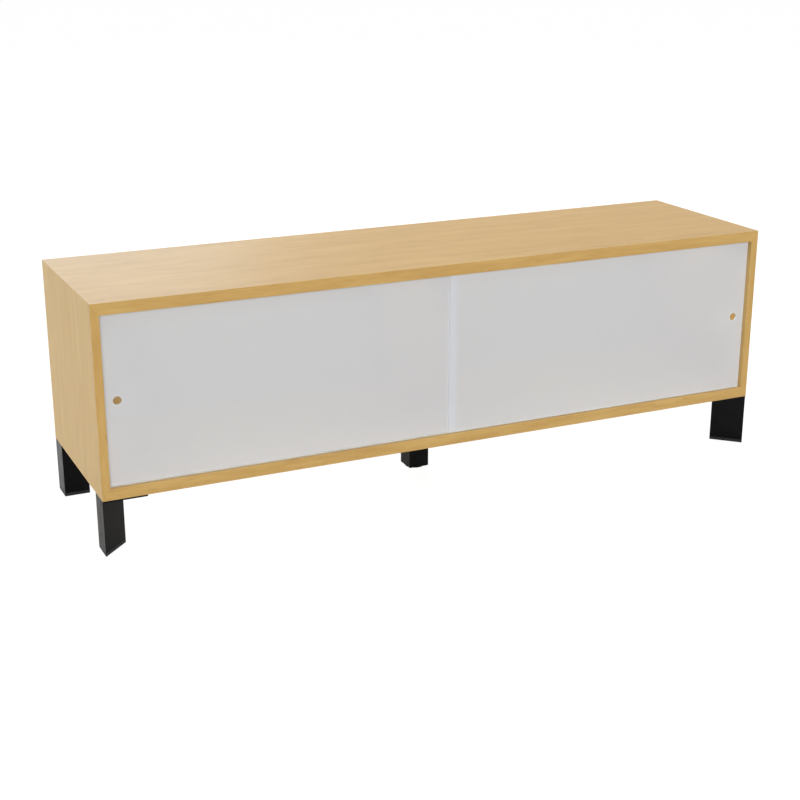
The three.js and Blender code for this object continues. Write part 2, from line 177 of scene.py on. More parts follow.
# Painted light: the sheet's colour is paler towards its edge beside the case, its top, its bottom and the rim
# of its hole, lifting the recess's shade there and adding a light rim.
# outerX is the edge beside the case; the other upright edge has no painted light
def opalMaterial(name, outerX, low, high, holeCentre, holeRadius):
    material, tree, shader = newMaterial(name, opalSheet["colour"], opalSheet["roughness"],
                                         opalSheet["specular"])
    shader.inputs["Alpha"].default_value = opalSheet["alpha"]
    place = objectCoordinates(tree)
    haze = noise(tree, place, opalSheet["hazeScale"])
    clearest = opalSheet["roughness"] - opalSheet["haze"]
    rough = remap(tree, haze, *noiseRange, clearest, clearest + 2 * opalSheet["haze"])
    tree.links.new(rough, shader.inputs["Roughness"])
    ripple = noise(tree, place, opalSheet["rippleScale"], detail=1.0)
    bump(tree, shader, ripple, opalSheet["rippleStrength"], opalSheet["ripple"])
    along = addNode(tree, "ShaderNodeSeparateXYZ", {"Vector": place}).outputs
    toSide = maths(tree, "ABSOLUTE", maths(tree, "SUBTRACT", along["X"], outerX))
    toBottom = maths(tree, "SUBTRACT", along["Z"], low)
    toTop = maths(tree, "SUBTRACT", high, along["Z"])
    fromHole = objectCoordinates(tree, (-holeCentre[0], 0, -holeCentre[1]), (1, 0, 1))
    fromHole = addNode(tree, "ShaderNodeVectorMath", {0: fromHole}, operation="LENGTH").outputs["Value"]
    nearest = maths(tree, "SUBTRACT", fromHole, holeRadius)
    for distance in (toSide, toBottom, toTop):
        nearest = maths(tree, "MINIMUM", nearest, distance)
    # Painted light: the base colour is scaled up near the edges and the hole's rim
    glow = 1.0
    for band in (opalSheet["paintedEdgeLight"], opalSheet["paintedRimLight"]):
        glow = maths(tree, "ADD", remap(tree, nearest, 0.0, band["width"], band["gain"], 0.0), glow)
    colour = addNode(tree, "ShaderNodeVectorMath", {0: opalSheet["colour"], "Scale": glow}, operation="SCALE")
    tree.links.new(colour.outputs["Vector"], shader.inputs["Base Color"])
    return material


# Powder coat, moulded plastic and metal: fine grain in colour, gloss and relief
grainy = {
    "powderCoat": {"colour": (0.003, 0.003, 0.0032), "roughness": (0.28, 0.38), "specular": 0.1,
                   "scale": 1500, "relief": 0.04 * mm, "tint": 0.35},
    "mouldedPlastic": {"colour": (0.021, 0.021, 0.0215), "roughness": (0.42, 0.55), "specular": 0.25,
                       "scale": 2600, "relief": 0.03 * mm, "tint": 0.25},
    "ivoryPlastic": {"colour": (0.75, 0.70, 0.61), "roughness": (0.36, 0.46), "specular": 0.4,
                     "scale": 700, "relief": 0.01 * mm, "tint": 0.06},
    "blackenedSteel": {"colour": (0.028, 0.028, 0.030), "roughness": (0.30, 0.45), "specular": 0.5,
                       "scale": 1800, "relief": 0.02 * mm, "tint": 0.4, "metallic": 0.6},
    "zincPlate": {"colour": (0.56, 0.57, 0.58), "roughness": (0.22, 0.38), "specular": 0.5,
                  "scale": 1400, "relief": 0.01 * mm, "tint": 0.2, "metallic": 1.0},
}
speckle = {"detail": 3.0, "broadening": 40, "reliefStrength": 0.5}


def grainyMaterial(name):
    values = grainy[name]
    material, tree, shader = newMaterial(name, values["colour"], values["roughness"][0], values["specular"])
    shader.inputs["Metallic"].default_value = values.get("metallic", 0.0)
    place = objectCoordinates(tree)
    fine = noise(tree, place, values["scale"], speckle["detail"])
    broad = noise(tree, place, values["scale"] / speckle["broadening"])
    tinted = [tuple(part * (1 + sign * values["tint"]) for part in values["colour"]) for sign in (-1, 1)]
    colour = addNode(tree, "ShaderNodeMix", {
        "Factor": remap(tree, broad, *noiseRange), "A": (*tinted[0], 1), "B": (*tinted[1], 1)},
        data_type="RGBA")
    tree.links.new(colour.outputs["Result"], shader.inputs["Base Color"])
    tree.links.new(remap(tree, broad, *noiseRange, *values["roughness"]), shader.inputs["Roughness"])
    bump(tree, shader, fine, speckle["reliefStrength"], values["relief"])
    return material


alongX, alongY, alongZ = 0, 1, 2
wood = {
    "top": woodMaterial("veneerTop", alongX, (0.31, 0.17, 0.9)),
    "bottom": woodMaterial("veneerBottom", alongX, (1.7, 2.3, 0.4)),
    "left": woodMaterial("veneerLeft", alongZ, (0.6, 1.1, 2.2)),
    "right": woodMaterial("veneerRight", alongZ, (2.9, 0.7, 1.3)),
    "divider": woodMaterial("veneerDivider", alongZ, (3.7, 1.9, 0.2)),
    # The back panel's darker veneer is painted shade
    "back": woodMaterial("veneerBackPaintedShade", alongX, (4.1, 3.3, 0.8), paintedShadeBackVeneer),
    "joinery": woodMaterial("bareBeech", alongY, (0.2, 0.5, 0.7)),
}
finish = {name: grainyMaterial(name) for name in grainy}
print("materials:", len(bpy.data.materials))


# Eased solids: outlines drawn out along an axis, with every arris rounded
def unit(vector):
    return vector / vector.length


def movedCorners(outline, distance):
    moved = []
    for index, corner in enumerate(outline):
        arriving = unit(corner - outline[index - 1])
        leaving = unit(outline[(index + 1) % len(outline)] - corner)
        inward = Vector((-arriving.y - leaving.y, arriving.x + leaving.x))
        moved.append(corner + inward * (2 * distance / inward.length_squared))
    return moved


# The outline keeps its material on the left; its corners turn in arcs
def loopAt(outline, radius, offset, steps=6):
    points = []
    outline = movedCorners([Vector(point) for point in outline], offset)
    for index, corner in enumerate(outline):
        if radius == 0:
            points.append(corner)
            continue
        back = unit(outline[index - 1] - corner)
        ahead = unit(outline[(index + 1) % len(outline)] - corner)
        turn = back.x * ahead.y - back.y * ahead.x
        reach = max(radius + (offset if turn > 0 else -offset), 0)
        half = back.angle(ahead) / 2
        centre = corner + unit(back + ahead) * (reach / math.sin(half))
        first = corner + back * (reach / math.tan(half)) - centre
        last = corner + ahead * (reach / math.tan(half)) - centre
        for step in range(steps + 1):
            share = step / steps
            swing = first.angle_signed(last, 0.0) if reach > 0 else 0.0
            points.append(centre + Matrix.Rotation(-swing * share, 2) @ first)
    return points


def circle(centre, radius, count=64, hole=False):
    turn = -1 if hole else 1
    return [(centre[0] + radius * math.cos(turn * 2 * math.pi * step / count),
             centre[1] + radius * math.sin(turn * 2 * math.pi * step / count)) for step in range(count)]


def rectangle(left, bottom, right, top):
    return [(left, bottom), (right, bottom), (right, top), (left, top)]


toPlace = {
    "x": lambda u, v, w: (w, u, v),
    "y": lambda u, v, w: (u, w, v),
    "z": lambda u, v, w: (u, v, w),
}


# outlines is a list of (corners, corner radius); holes run the other way round
def addSolid(mesh, axis, outlines, low, high, ease, easeHigh=None, steps=3):
    easeHigh = ease if easeHigh is None else easeHigh
    levels = []
    for step in range(steps + 1):
        angle = math.pi / 2 * step / steps
        levels.append((ease * (1 - math.sin(angle)), low + ease * (1 - math.cos(angle))))
    for step in range(steps, -1, -1):
        angle = math.pi / 2 * step / steps
        levels.append((easeHigh * (1 - math.sin(angle)), high - easeHigh * (1 - math.cos(angle))))
    ends = ([], [])
    for outline, radius in outlines:
        rings = [[mesh.verts.new(toPlace[axis](point[0], point[1], height))
                  for point in loopAt(outline, radius, offset)] for offset, height in levels]
        for lower, upper in zip(rings, rings[1:]):
            for index in range(len(lower)):
                after = (index + 1) % len(lower)
                mesh.faces.new((lower[index], lower[after], upper[after], upper[index]))
        for end, ring in zip(ends, (rings[0], rings[-1])):
            end.append(ring)
    for rings in ends:
        if len(rings) == 1:
            mesh.faces.new(rings[0])
            continue
        edges = [mesh.edges.get((ring[index - 1], ring[index]))
                 for ring in rings for index in range(len(ring))]
        bmesh.ops.triangle_fill(mesh, edges=edges, use_beauty=True)


def addBox(mesh, low, high, ease):
    outline = rectangle(low[0], low[1], high[0], high[1])
    addSolid(mesh, "z", [(outline, ease)], low[2], high[2], ease)


# Cuts off what lies beyond a plane and closes the cut
def saw(mesh, point, normal):
    parts = mesh.verts[:] + mesh.edges[:] + mesh.faces[:]
    bmesh.ops.bisect_plane(mesh, geom=parts, plane_co=point, plane_no=normal, clear_outer=True)
    bmesh.ops.holes_fill(mesh, edges=[edge for edge in mesh.edges if edge.is_boundary])


# The smooth angle is in degrees
finishing = {"weldDistance": 0.001 * mm, "shortestEdge": 0.0005 * mm, "smoothAngle": 40}


def newPiece(name, mesh):
    bmesh.ops.remove_doubles(mesh, verts=mesh.verts[:], dist=finishing["weldDistance"])
    bmesh.ops.dissolve_degenerate(mesh, edges=mesh.edges[:], dist=finishing["shortestEdge"])
    bmesh.ops.recalc_face_normals(mesh, faces=mesh.faces[:])
    data = bpy.data.meshes.new(name)
    mesh.to_mesh(data)
    mesh.free()
    return addObject(name, data)


def settle(piece):
    evaluated = piece.evaluated_get(bpy.context.evaluated_depsgraph_get())
    data = bpy.data.meshes.new_from_object(evaluated)
    piece.modifiers.clear()
    piece.data = data


def combine(piece, other, operation):
    modifier = piece.modifiers.new(operation.lower(), "BOOLEAN")
    modifier.operation = operation
    modifier.solver = "EXACT"
    modifier.object = other
    settle(piece)
    bpy.data.objects.remove(other)


# A cutter in the shape of the inserts, from copies of their CAD meshes
def insertCutter(nodes):
    mesh = bmesh.new()
    for node in nodes:
        mesh.from_mesh(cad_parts[node].data)
    return newPiece("cutter", mesh)


def dress(piece, body, material, slot, *nodes):
    piece.data.materials.clear()
    piece.data.materials.append(material)
    piece.data.shade_smooth()
    piece.data.set_sharp_from_angle(angle=math.radians(finishing["smoothAngle"]))
    normals = piece.modifiers.new("normals", "WEIGHTED_NORMAL")
    normals.keep_sharp = True
    settle(piece)
    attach(piece, body)
    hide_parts(*nodes)


# Case: four boards, sawn at 45 degrees to the corners' inner and outer edges
case = {"ease": 0.6 * mm, "glueLine": 0.05 * mm, "dividerEase": 0.5 * mm, "backEase": 0.25 * mm,
        "cutEase": 0.01 * mm, "cutPast": 5 * mm, "cutFit": 0.3 * mm}

topLow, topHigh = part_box("top_panel")
bottomLow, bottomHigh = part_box("bottom_panel")
leftLow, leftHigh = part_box("left_side_panel")
rightLow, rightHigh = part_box("right_side_panel")
backLow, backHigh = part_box("back_panel")
outerLow = Vector((leftLow.x, leftLow.y, bottomLow.z))
outerHigh = Vector((rightHigh.x, rightHigh.y, topHigh.z))
innerLow = Vector((leftHigh.x, leftLow.y, bottomHigh.z))
innerHigh = Vector((rightLow.x, backLow.y, topLow.z))
inserts = [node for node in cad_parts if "spline" in node or "dowel" in node or "screw" in node]


# The mitre at a corner of the case: a point on it, and the way out of the top or bottom board
def mitre(side, level):
    outer = Vector((outerHigh.x if side > 0 else outerLow.x, 0, outerHigh.z if level > 0 else outerLow.z))
    inner = Vector((innerHigh.x if side > 0 else innerLow.x, 0, innerHigh.z if level > 0 else innerLow.z))
    run = inner - outer
    return outer, unit(Vector((side * abs(run.z), 0, -level * abs(run.x))))


def board(name, low, high, saws, cutters):
    mesh = bmesh.new()
    addBox(mesh, low, high, case["ease"])
    for point, away in saws:
        saw(mesh, point - away * case["glueLine"] / 2, away)
    piece = newPiece(name, mesh)
    for cutter in cutters:
        combine(piece, cutter, "DIFFERENCE")
    return piece


def boxCutter(low, high):
    mesh = bmesh.new()
    addBox(mesh, low, high, case["cutEase"])
    return newPiece("cutter", mesh)


# The back panel lies in a rebate and the tracks lie in grooves
def rebateCutter():
    past, fit = case["cutPast"], case["cutFit"]
    return boxCutter((backLow.x - fit, backLow.y - fit, backLow.z - fit),
                     (backHigh.x + fit, outerHigh.y + past, backHigh.z + fit))


def grooveCutter(track, level):
    past, fit = case["cutPast"], case["cutFit"]
    low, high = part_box(track)
    deep, shallow = (high.z + fit, low.z - past) if level > 0 else (low.z - fit, high.z + past)
    return boxCutter((outerLow.x - past, low.y - fit, min(deep, shallow)),
                     (outerHigh.x + past, high.y + fit, max(deep, shallow)))


for level, name, low, track in ((1, "top", Vector((outerLow.x, outerLow.y, innerHigh.z)), "upper_track"),
                                (-1, "bottom", outerLow, "lower_track")):
    high = outerHigh if level > 0 else Vector((outerHigh.x, outerHigh.y, innerLow.z))
    piece = board(f"{name}Board", low, high, [mitre(-1, level), mitre(1, level)],
                  [rebateCutter(), grooveCutter(track, level), insertCutter(inserts)])
    dress(piece, "case", wood[name], "case_wood", f"{name}_panel")

for side, name in ((-1, "left"), (1, "right")):
    low = outerLow if side < 0 else Vector((innerHigh.x, outerLow.y, outerLow.z))
    high = outerHigh if side > 0 else Vector((innerLow.x, outerHigh.y, outerHigh.z))
    saws = [(point, -away) for point, away in (mitre(side, 1), mitre(side, -1))]
    piece = board(f"{name}Board", low, high, saws, [rebateCutter(), insertCutter(inserts)])
    dress(piece, "case", wood[name], "case_wood", f"{name}_side_panel")

mesh = bmesh.new()
addBox(mesh, *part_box("centre_divider"), case["dividerEase"])
piece = newPiece("centreDivider", mesh)
combine(piece, insertCutter([node for node in inserts if "dowel" in node]), "DIFFERENCE")
dress(piece, "case", wood["divider"], "case_wood", "centre_divider")

mesh = bmesh.new()
addBox(mesh, backLow, backHigh, case["backEase"])
piece = newPiece("backPanel", mesh)
combine(piece, insertCutter([node for node in inserts if "back_panel_screw" in node]), "DIFFERENCE")
dress(piece, "case", wood["back"], "back_board", "back_panel")

for node in inserts:
    if "spline" in node:
        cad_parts[node].data.materials.clear()
        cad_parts[node].data.materials.append(wood["joinery"])
print("case: boards, divider and back panel")


# Tracks: an extruded section with two channels and rounded lips
tracks = {"clearance": 0.4 * mm, "floor": 1.5 * mm, "lipRadius": 0.45 * mm, "ease": 0.15 * mm}


def trackSection(node, level):
    low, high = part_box(node)
    openZ, closedZ = (low.z, high.z) if level > 0 else (high.z, low.z)
    floorZ = closedZ - level * tracks["floor"]
    channels = []
    for door in ("right_door", "left_door"):
        doorLow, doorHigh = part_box(door)
        start, end = doorLow.y - tracks["clearance"], doorHigh.y + tracks["clearance"]
        channels += [(start, openZ), (start, floorZ), (end, floorZ), (end, openZ)]
    section = [(low.y, openZ), *channels, (high.y, openZ), (high.y, closedZ), (low.y, closedZ)]
    return section if level > 0 else section[::-1]


for node, level in (("upper_track", 1), ("lower_track", -1)):
    low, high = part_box(node)
    mesh = bmesh.new()
    section = trackSection(node, level)
    addSolid(mesh, "x", [(section, tracks["lipRadius"])], low.x, high.x, tracks["ease"])
    piece = newPiece("upperTrack" if level > 0 else "lowerTrack", mesh)
    dress(piece, "case", finish["ivoryPlastic"], "track_plastic", node)
print("tracks")


# Doors: one sheet each, with eased edges, light painted along them, and a round finger hole
doors = {"ease": 0.5 * mm, "cornerRadius": 1.5 * mm, "holeDiameter": 18 * mm, "holeInset": 29 * mm,
         "holeDrop": 2 * mm}

for side, name, body in ((-1, "left", "left_sliding_door"), (1, "right", "right_sliding_door")):
    low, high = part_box(f"{name}_door")
    sheet = rectangle(low.x, low.z, high.x, high.z)
    outerX = low.x if side < 0 else high.x
    holeX = outerX - side * doors["holeInset"]
    holeZ = (innerLow.z + innerHigh.z) / 2 - doors["holeDrop"]
    hole = circle((holeX, holeZ), doors["holeDiameter"] / 2, hole=True)
    mesh = bmesh.new()
    addSolid(mesh, "y", [(sheet, doors["cornerRadius"]), (hole, 0)], low.y, high.y, doors["ease"])
    piece = newPiece(f"{name}Door", mesh)
    opal = opalMaterial(f"{name}OpalSheet", outerX, innerLow.z, innerHigh.z, (holeX, holeZ),
                        doors["holeDiameter"] / 2)
    dress(piece, body, opal, "opal_sheet", f"{name}_door")
    piece.visible_shadow = False
print("doors")


# Corner legs: a folded triangular tube under a plate, with a cap in its foot
legs = {"wall": 1.5 * mm, "edgeRadius": 0.5 * mm, "boreRadius": 0.4 * mm, "ease": 0.2 * mm,
        "weldedEase": 0.02 * mm, "plateRadius": 2 * mm, "plateEase": 0.3 * mm, "screwHole": 5.6 * mm,
        "capEase": 0.5 * mm, "capTopEase": 0.2 * mm, "plugRadius": 0.4 * mm, "plugEase": 0.8 * mm,
        "plugFit": 0.3 * mm}


def anticlockwise(outline):
    area = sum(outline[index - 1][0] * outline[index][1] - outline[index][0] * outline[index - 1][1]
               for index in range(len(outline)))
    return outline if area > 0 else outline[::-1]


def inset(outline, distance):
    return [tuple(point) for point in movedCorners([Vector(point) for point in outline], distance)]


def boxCentre(node):
    low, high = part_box(node)
    return [(start + end) / 2 for start, end in zip(low, high)]


def plate(name, node, screws):
    low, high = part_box(node)
    outline = rectangle(low.x, low.y, high.x, high.y)
    places = [boxCentre(screw)[:2] for screw in sorted(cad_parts) if screw.startswith(screws)]
    holes = [(circle(place, legs["screwHole"] / 2, count=32, hole=True), 0) for place in places]
    mesh = bmesh.new()
    addSolid(mesh, "z", [(outline, legs["plateRadius"]), *holes], low.z, high.z, legs["plateEase"])
    dress(newPiece(name, mesh), "case", finish["powderCoat"], "black_steel", node)


def tube(name, node, outline, radius, bore, boreRadius, top):
    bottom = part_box(node)[0].z
    mesh = bmesh.new()
    addSolid(mesh, "z", [(outline, radius), (bore[::-1], boreRadius)], bottom, top, legs["ease"],
             legs["weldedEase"])
    dress(newPiece(name, mesh), "case", finish["powderCoat"], "black_steel", node)


def foot(name, node, flange, flangeRadius, flangeTop, flangeEase, plug, plugRadius):
    low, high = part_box(node)
    mesh = bmesh.new()
    addSolid(mesh, "z", [(flange, flangeRadius)], low.z, flangeTop, flangeEase, legs["capTopEase"])
    piece = newPiece(name, mesh)
    mesh = bmesh.new()
    addSolid(mesh, "z", [(plug, plugRadius)], (low.z + flangeTop) / 2, high.z, legs["plugEase"])
    combine(piece, newPiece("plug", mesh), "UNION")
    dress(piece, "case", finish["mouldedPlastic"], "black_plastic", node)


for corner, (side, end) in corners.items():
    label = corner.replace("_l", "L").replace("_r", "R")
    low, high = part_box(f"{corner}_leg")
    outerX, innerX = (low.x, high.x) if side < 0 else (high.x, low.x)
    outerY, innerY = (low.y, high.y) if end < 0 else (high.y, low.y)
    triangle = anticlockwise([(outerX, outerY), (outerX, innerY), (innerX, innerY)])
    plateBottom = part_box(f"{corner}_leg_plate")[0].z
    plate(f"{label}LegPlate", f"{corner}_leg_plate", f"{corner}_leg_screw")
    tube(f"{label}Leg", f"{corner}_leg", triangle, legs["edgeRadius"], inset(triangle, legs["wall"]),
         legs["boreRadius"], plateBottom)
    foot(f"{label}FootCap", f"{corner}_foot_cap", triangle, legs["edgeRadius"], low.z, legs["capEase"],
         inset(triangle, legs["wall"] + legs["plugFit"]), legs["plugRadius"])
print("corner legs")


# Centre leg: a square tube under its plate, on a round glide
centreLeg = {"radius": 0.6 * mm, "wall": 2 * mm, "boreRadius": 0.5 * mm,
             "glideDiameter": 46 * mm, "glideEase": 1.2 * mm}

low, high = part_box("centre_leg")
square = rectangle(low.x, low.y, high.x, high.y)
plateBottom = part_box("centre_leg_plate")[0].z
plate("centreLegPlate", "centre_leg_plate", "centre_leg_screw")
tube("centreLeg", "centre_leg", square, centreLeg["radius"], inset(square, centreLeg["wall"]),
     centreLeg["boreRadius"], plateBottom)
glide = circle(boxCentre("centre_leg")[:2], centreLeg["glideDiameter"] / 2, count=72)
foot("centreLegFoot", "centre_leg_foot", glide, 0, low.z, centreLeg["glideEase"],
     inset(square, centreLeg["wall"] + legs["plugFit"]), centreLeg["boreRadius"])
print("centre leg")


# Geometry Nodes trees
def newTree(name, inputs):
    tree = bpy.data.node_groups.new(name, "GeometryNodeTree")
    tree.interface.new_socket(name="Geometry", in_out="INPUT", socket_type="NodeSocketGeometry")
    tree.interface.new_socket(name="Geometry", in_out="OUTPUT", socket_type="NodeSocketGeometry")
    for label, kind in inputs.items():
        tree.interface.new_socket(name=label, in_out="INPUT", socket_type=f"NodeSocket{kind}")
    source = addNode(tree, "NodeGroupInput")
    return tree, source.outputs


def endTree(tree, geometry, material):
    smooth = addNode(tree, "GeometryNodeRealizeInstances", {"Geometry": geometry}).outputs[0]
    dressed = addNode(tree, "GeometryNodeSetMaterial", {"Geometry": smooth, "Material": material}).outputs[0]
    addNode(tree, "NodeGroupOutput", {"Geometry": dressed})


def moved(tree, geometry, translation=(0, 0, 0), scale=(1, 1, 1)):
    return addNode(tree, "GeometryNodeTransform", {
        "Geometry": geometry, "Translation": translation, "Scale": scale}).outputs[0]


def vectorOf(tree, x=0.0, y=0.0, z=0.0):
    return addNode(tree, "ShaderNodeCombineXYZ", {"X": x, "Y": y, "Z": z}).outputs[0]


# The dome and the wings of the recess go by the head's radius and the recess's width
screwShape = {"headSides": 40, "domeRings": 20, "domeWidth": 1.22, "wingWidth": 0.26, "shankSides": 24,
              "tipRadius": 0.1 * mm, "threadSteps": 16, "ridgeSides": 3}


# A round-headed screw with a cross recess and a rolled thread, tip up, one at each point
def screwTree():
    tree, given = newTree("roundHeadScrew", {
        "Head Diameter": "Float", "Head Height": "Float", "Shank Diameter": "Float", "Shank Length": "Float",
        "Tip Length": "Float", "Thread Pitch": "Float", "Thread Height": "Float", "Plain Length": "Float",
        "Recess Width": "Float", "Recess Depth": "Float", "Direction": "Vector", "Seed": "Int",
        "Material": "Material"})
    headRadius = maths(tree, "MULTIPLY", given["Head Diameter"], 0.5)
    headHeight = given["Head Height"]
    drum = addNode(tree, "GeometryNodeMeshCylinder", {
        "Vertices": screwShape["headSides"], "Radius": headRadius, "Depth": headHeight}).outputs["Mesh"]
    drum = moved(tree, drum, vectorOf(tree, z=maths(tree, "MULTIPLY", headHeight, -0.5)))
    dome = addNode(tree, "GeometryNodeMeshUVSphere", {
        "Segments": screwShape["headSides"], "Rings": screwShape["domeRings"], "Radius": 1.0}).outputs["Mesh"]
    domeRadius = maths(tree, "MULTIPLY", headRadius, screwShape["domeWidth"])
    dome = moved(tree, dome, scale=vectorOf(tree, domeRadius, domeRadius, headHeight))
    head = addNode(tree, "GeometryNodeMeshBoolean", operation="INTERSECT", solver="EXACT")
    tree.links.new(drum, head.inputs["Mesh 2"])
    tree.links.new(dome, head.inputs["Mesh 2"])
    recess = addNode(tree, "GeometryNodeMeshBoolean", operation="DIFFERENCE", solver="EXACT")
    tree.links.new(head.outputs["Mesh"], recess.inputs["Mesh 1"])
    depth = maths(tree, "MULTIPLY", given["Recess Depth"], 2.0)
    slim = maths(tree, "MULTIPLY", given["Recess Width"], screwShape["wingWidth"])
    bottom = vectorOf(tree, z=maths(tree, "MULTIPLY", headHeight, -1.0))
    for size in (vectorOf(tree, given["Recess Width"], slim, depth),
                 vectorOf(tree, slim, given["Recess Width"], depth)):
        wing = addNode(tree, "GeometryNodeMeshCube", {"Size": size}).outputs["Mesh"]
        tree.links.new(moved(tree, wing, bottom), recess.inputs["Mesh 2"])
    shankRadius = maths(tree, "MULTIPLY", given["Shank Diameter"], 0.5)
    straight = maths(tree, "SUBTRACT", given["Shank Length"], given["Tip Length"])
    shank = addNode(tree, "GeometryNodeMeshCylinder", {
        "Vertices": screwShape["shankSides"], "Radius": shankRadius, "Depth": straight}).outputs["Mesh"]
    shank = moved(tree, shank, vectorOf(tree, z=maths(tree, "MULTIPLY", straight, 0.5)))
    tip = addNode(tree, "GeometryNodeMeshCone", {
        "Vertices": screwShape["shankSides"], "Radius Top": screwShape["tipRadius"],
        "Radius Bottom": shankRadius, "Depth": given["Tip Length"]}).outputs["Mesh"]
    tip = moved(tree, tip, vectorOf(tree, z=straight))
    threaded = maths(tree, "SUBTRACT", straight, given["Plain Length"])
    spiral = addNode(tree, "GeometryNodeCurveSpiral", {
        "Resolution": screwShape["threadSteps"],
        "Rotations": maths(tree, "DIVIDE", threaded, given["Thread Pitch"]),
        "Start Radius": shankRadius, "End Radius": shankRadius, "Height": threaded}).outputs["Curve"]
    ridge = addNode(tree, "GeometryNodeCurvePrimitiveCircle", {
        "Resolution": screwShape["ridgeSides"], "Radius": given["Thread Height"]}).outputs["Curve"]
    thread = addNode(tree, "GeometryNodeCurveToMesh", {
        "Curve": spiral, "Profile Curve": ridge, "Fill Caps": True}).outputs["Mesh"]
    thread = moved(tree, thread, vectorOf(tree, z=given["Plain Length"]))
    screw = addNode(tree, "GeometryNodeJoinGeometry")
    for part in (recess.outputs["Mesh"], shank, tip, thread):
        tree.links.new(part, screw.inputs["Geometry"])
    aim = addNode(tree, "FunctionNodeEulerToRotation", {"Euler": given["Direction"]}).outputs[0]
    placed = addNode(tree, "GeometryNodeInstanceOnPoints", {
        "Points": given["Geometry"], "Instance": screw.outputs[0], "Rotation": aim}).outputs[0]
    turn = addNode(tree, "FunctionNodeRandomValue", {2: 0.0, 3: math.pi, "Seed": given["Seed"]}).outputs[1]
    spin = addNode(tree, "FunctionNodeEulerToRotation", {"Euler": vectorOf(tree, z=turn)}).outputs[0]
    driven = addNode(tree, "GeometryNodeRotateInstances", {
        "Instances": placed, "Rotation": spin, "Local Space": True}).outputs[0]
    endTree(tree, driven, given["Material"])
    return tree


dowelRings = 31


# A fluted dowel with chamfered ends, standing up, one at each point
def dowelTree():
    tree, given = newTree("flutedDowel", {
        "Diameter": "Float", "Length": "Float", "Chamfer": "Float", "Flute Depth": "Float", "Flutes": "Int",
        "Material": "Material"})
    radius = maths(tree, "MULTIPLY", given["Diameter"], 0.5)
    line = addNode(tree, "GeometryNodeCurvePrimitiveLine", {
        "Start": vectorOf(tree, z=maths(tree, "MULTIPLY", given["Length"], -0.5)),
        "End": vectorOf(tree, z=maths(tree, "MULTIPLY", given["Length"], 0.5))}).outputs[0]
    line = addNode(tree, "GeometryNodeResampleCurve", {"Curve": line, "Count": dowelRings}).outputs[0]
    along = addNode(tree, "GeometryNodeSplineParameter").outputs["Length"]
    fromEnd = maths(tree, "MINIMUM", along, maths(tree, "SUBTRACT", given["Length"], along))
    narrow = maths(tree, "SUBTRACT", given["Chamfer"], maths(tree, "MINIMUM", fromEnd, given["Chamfer"]))
    share = maths(tree, "SUBTRACT", 1.0, maths(tree, "DIVIDE", narrow, radius))
    line = addNode(tree, "GeometryNodeSetCurveRadius", {"Curve": line, "Radius": share}).outputs[0]
    star = addNode(tree, "GeometryNodeCurveStar", {
        "Points": given["Flutes"], "Inner Radius": maths(tree, "SUBTRACT", radius, given["Flute Depth"]),
        "Outer Radius": radius}).outputs["Curve"]
    dowel = addNode(tree, "GeometryNodeCurveToMesh", {
        "Curve": line, "Profile Curve": star, "Scale": share, "Fill Caps": True}).outputs["Mesh"]
    placed = addNode(tree, "GeometryNodeInstanceOnPoints", {
        "Points": given["Geometry"], "Instance": dowel}).outputs[0]
    endTree(tree, placed, given["Material"])
    return tree


# Runs a tree on a point for each node and gives one plain mesh
def grow(name, tree, points, values):
    data = bpy.data.meshes.new(name)
    data.from_pydata(points, [], [])
    piece = addObject(name, data)
    modifier = piece.modifiers.new(tree.name, "NODES")
    modifier.node_group = tree
    for item in tree.interface.items_tree:
        if item.in_out == "INPUT" and item.name in values:
            modifier[item.identifier] = values[item.name]
    settle(piece)
    return piece


screws = screwTree()
legScrews = {"Head Diameter": 9.5 * mm, "Head Height": 3 * mm, "Shank Diameter": 4.2 * mm,
             "Shank Length": 17.9 * mm, "Tip Length": 3 * mm, "Thread Pitch": 1.8 * mm,
             "Thread Height": 0.55 * mm, "Plain Length": 3.6 * mm, "Recess Width": 4.4 * mm,
             "Recess Depth": 1.7 * mm, "Direction": (0.0, 0.0, 0.0), "Seed": 4,
             "Material": finish["blackenedSteel"]}
nodes = [node for node in inserts if "leg_screw" in node]
points = [(*boxCentre(node)[:2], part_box(node)[0].z + legScrews["Head Height"]) for node in nodes]
piece = grow("legScrews", screws, points, legScrews)
dress(piece, "case", finish["blackenedSteel"], "leg_screws", *nodes)

backScrews = {"Head Diameter": 7 * mm, "Head Height": 2.2 * mm, "Shank Diameter": 3 * mm,
              "Shank Length": 18.6 * mm, "Tip Length": 2 * mm, "Thread Pitch": 1.3 * mm,
              "Thread Height": 0.4 * mm, "Plain Length": 6.6 * mm, "Recess Width": 3.4 * mm,
              "Recess Depth": 1.3 * mm, "Direction": (math.pi / 2, 0.0, 0.0), "Seed": 9,
              "Material": finish["zincPlate"]}
nodes = [node for node in inserts if "back_panel_screw" in node]
points = []
for node in nodes:
    centre = boxCentre(node)
    points.append((centre[0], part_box(node)[1].y - backScrews["Head Height"], centre[2]))
piece = grow("backScrews", screws, points, backScrews)
dress(piece, "case", finish["zincPlate"], "back_screws", *nodes)

dowels = {"Diameter": 8 * mm, "Length": 30 * mm, "Chamfer": 1 * mm, "Flute Depth": 0.35 * mm, "Flutes": 18,
          "Material": wood["joinery"]}
nodes = [node for node in inserts if "dowel" in node]
piece = grow("dividerDowels", dowelTree(), [boxCentre(node) for node in nodes], dowels)
dress(piece, "case", wood["joinery"], "joinery_wood", *nodes)
print("screws and dowels")


# Floor: grey to bounced light and white to the eye, with the object's shadow, which mirrors see too
floor = {"size": 60.0, "colour": 0.35, "seenColour": 0.2, "seenGlow": 0.92,
         "mirroredColour": 1.0, "mirroredGlow": 0.05}


